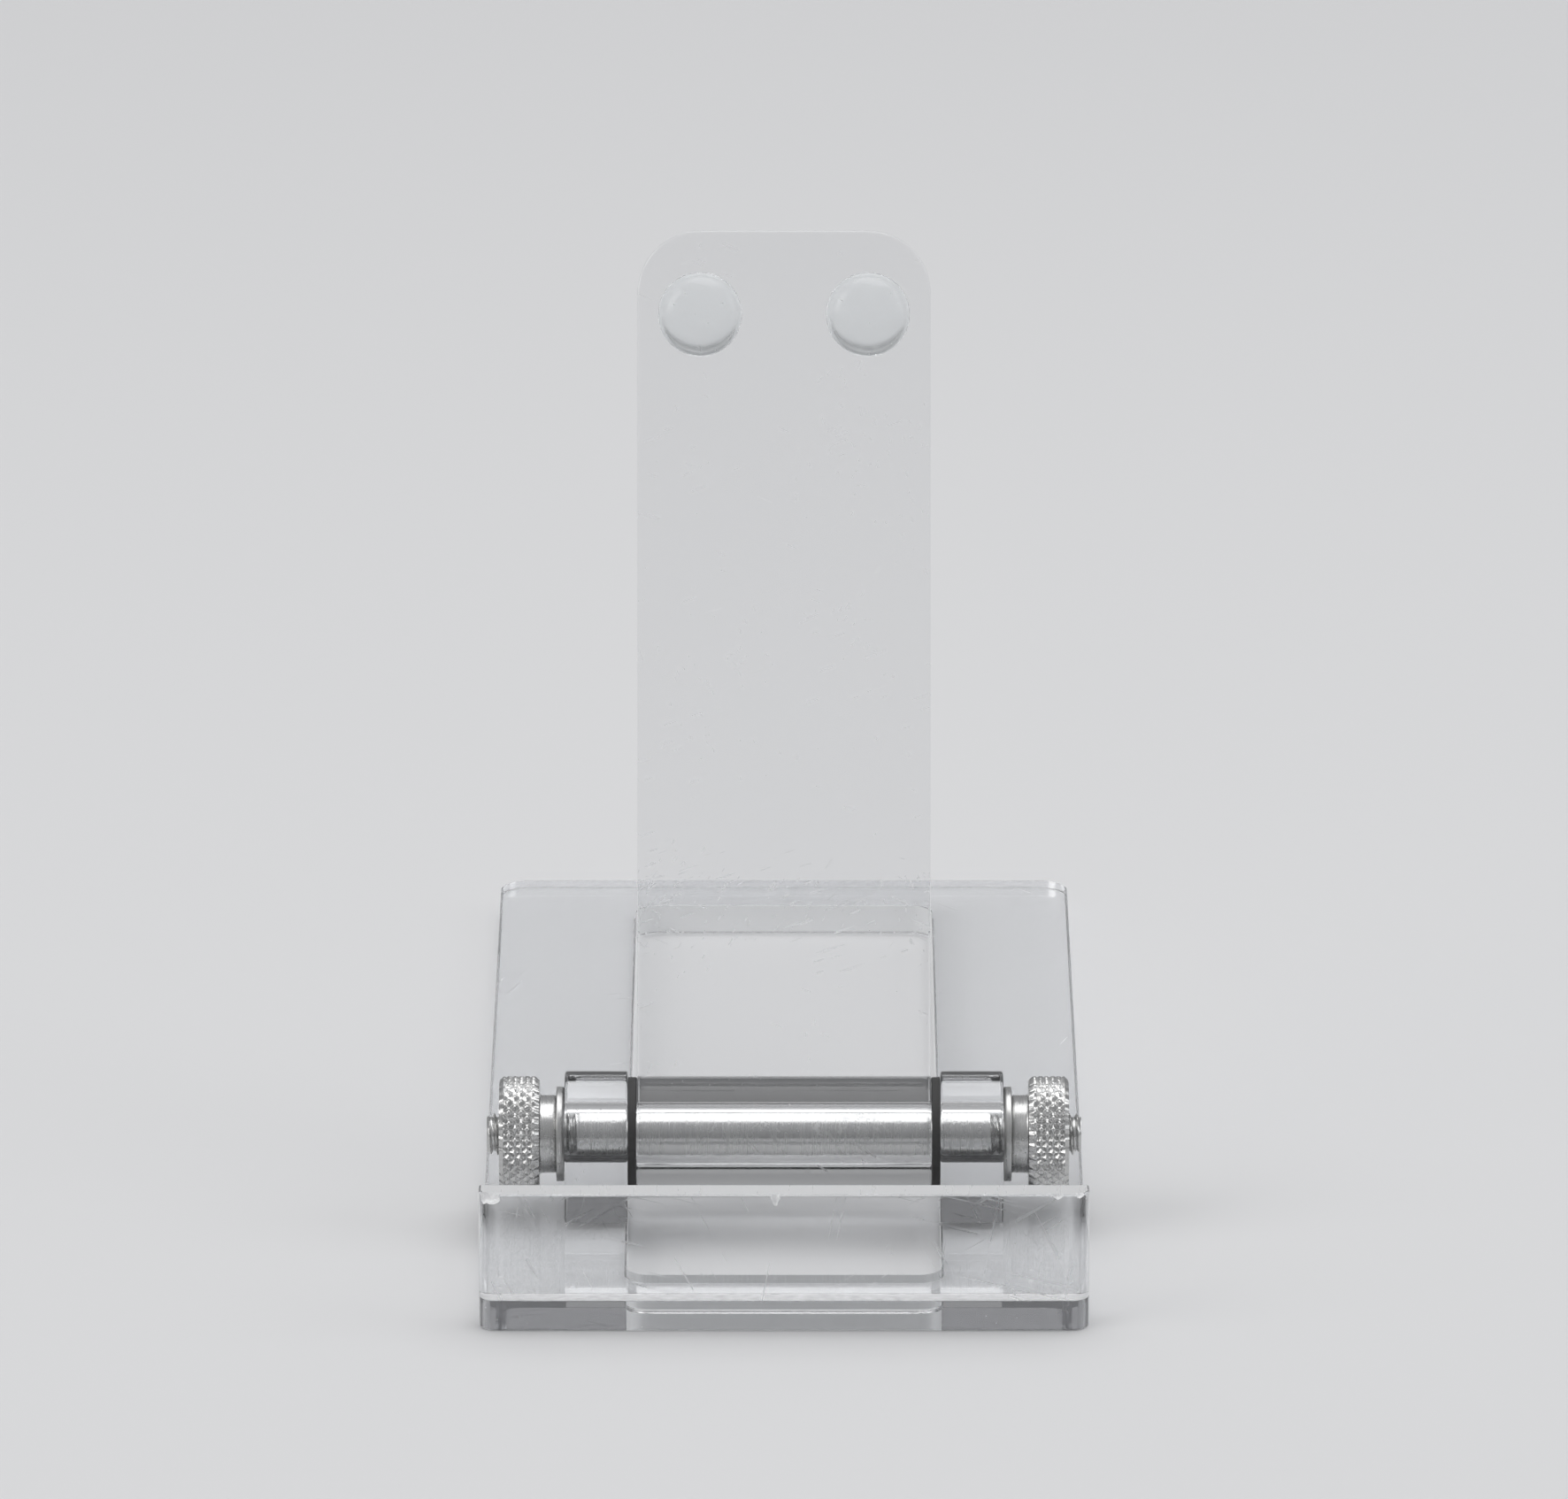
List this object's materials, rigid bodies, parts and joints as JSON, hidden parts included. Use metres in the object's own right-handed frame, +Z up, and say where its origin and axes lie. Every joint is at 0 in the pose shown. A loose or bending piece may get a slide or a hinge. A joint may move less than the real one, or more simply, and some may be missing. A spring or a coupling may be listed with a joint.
{
  "type": "plate display stand",
  "caption": "Low clear acrylic stand with a front lip and a friction-clamped back rest that tilts and folds flat, for showing a plate upright.",
  "frame": {"origin": "on the table, under the middle of the base frame", "axes": "+X to the right seen from the front, +Y to the back, +Z up"},
  "size_m": [0.057, 0.124, 0.0894],
  "materials": {
    "acrylic": "polished clear acrylic sheet with fine handling scratches",
    "stainless": "turned and knurled stainless steel",
    "fibre": "matt black vulcanised fibre",
    "silicone": "soft translucent silicone"
  },
  "bodies": {
    "base": {"base_frame": "acrylic", "front_lip": "acrylic", "hinge_cheek_left": "acrylic", "hinge_cheek_right": "acrylic", "clamp_rod": "stainless", "steel_washer_left": "stainless", "steel_washer_right": "stainless", "friction_washer_left": "fibre", "friction_washer_right": "fibre"},
    "back_support": {"back_rest": "acrylic", "hinge_knuckle": "acrylic", "bumper_left": "silicone", "bumper_right": "silicone"},
    "nut_left": {"thumb_nut_left": "stainless"},
    "nut_right": {"thumb_nut_right": "stainless"}
  },
  "joints": [
    {"name": "back_tilt", "type": "hinge", "parent": "base", "child": "back_support", "pos_m": [0, -0.0335, 0.0095], "axis": [1, 0, 0], "range_deg": [-72, 18]},
    {"name": "thumb_nut_left_turn", "type": "hinge", "parent": "base", "child": "nut_left", "pos_m": [-0.0245, -0.0335, 0.0095], "axis": [-1, 0, 0], "range_deg": [0, 360]},
    {"name": "thumb_nut_right_turn", "type": "hinge", "parent": "base", "child": "nut_right", "pos_m": [0.0245, -0.0335, 0.0095], "axis": [1, 0, 0], "range_deg": [0, 360]}
  ]
}
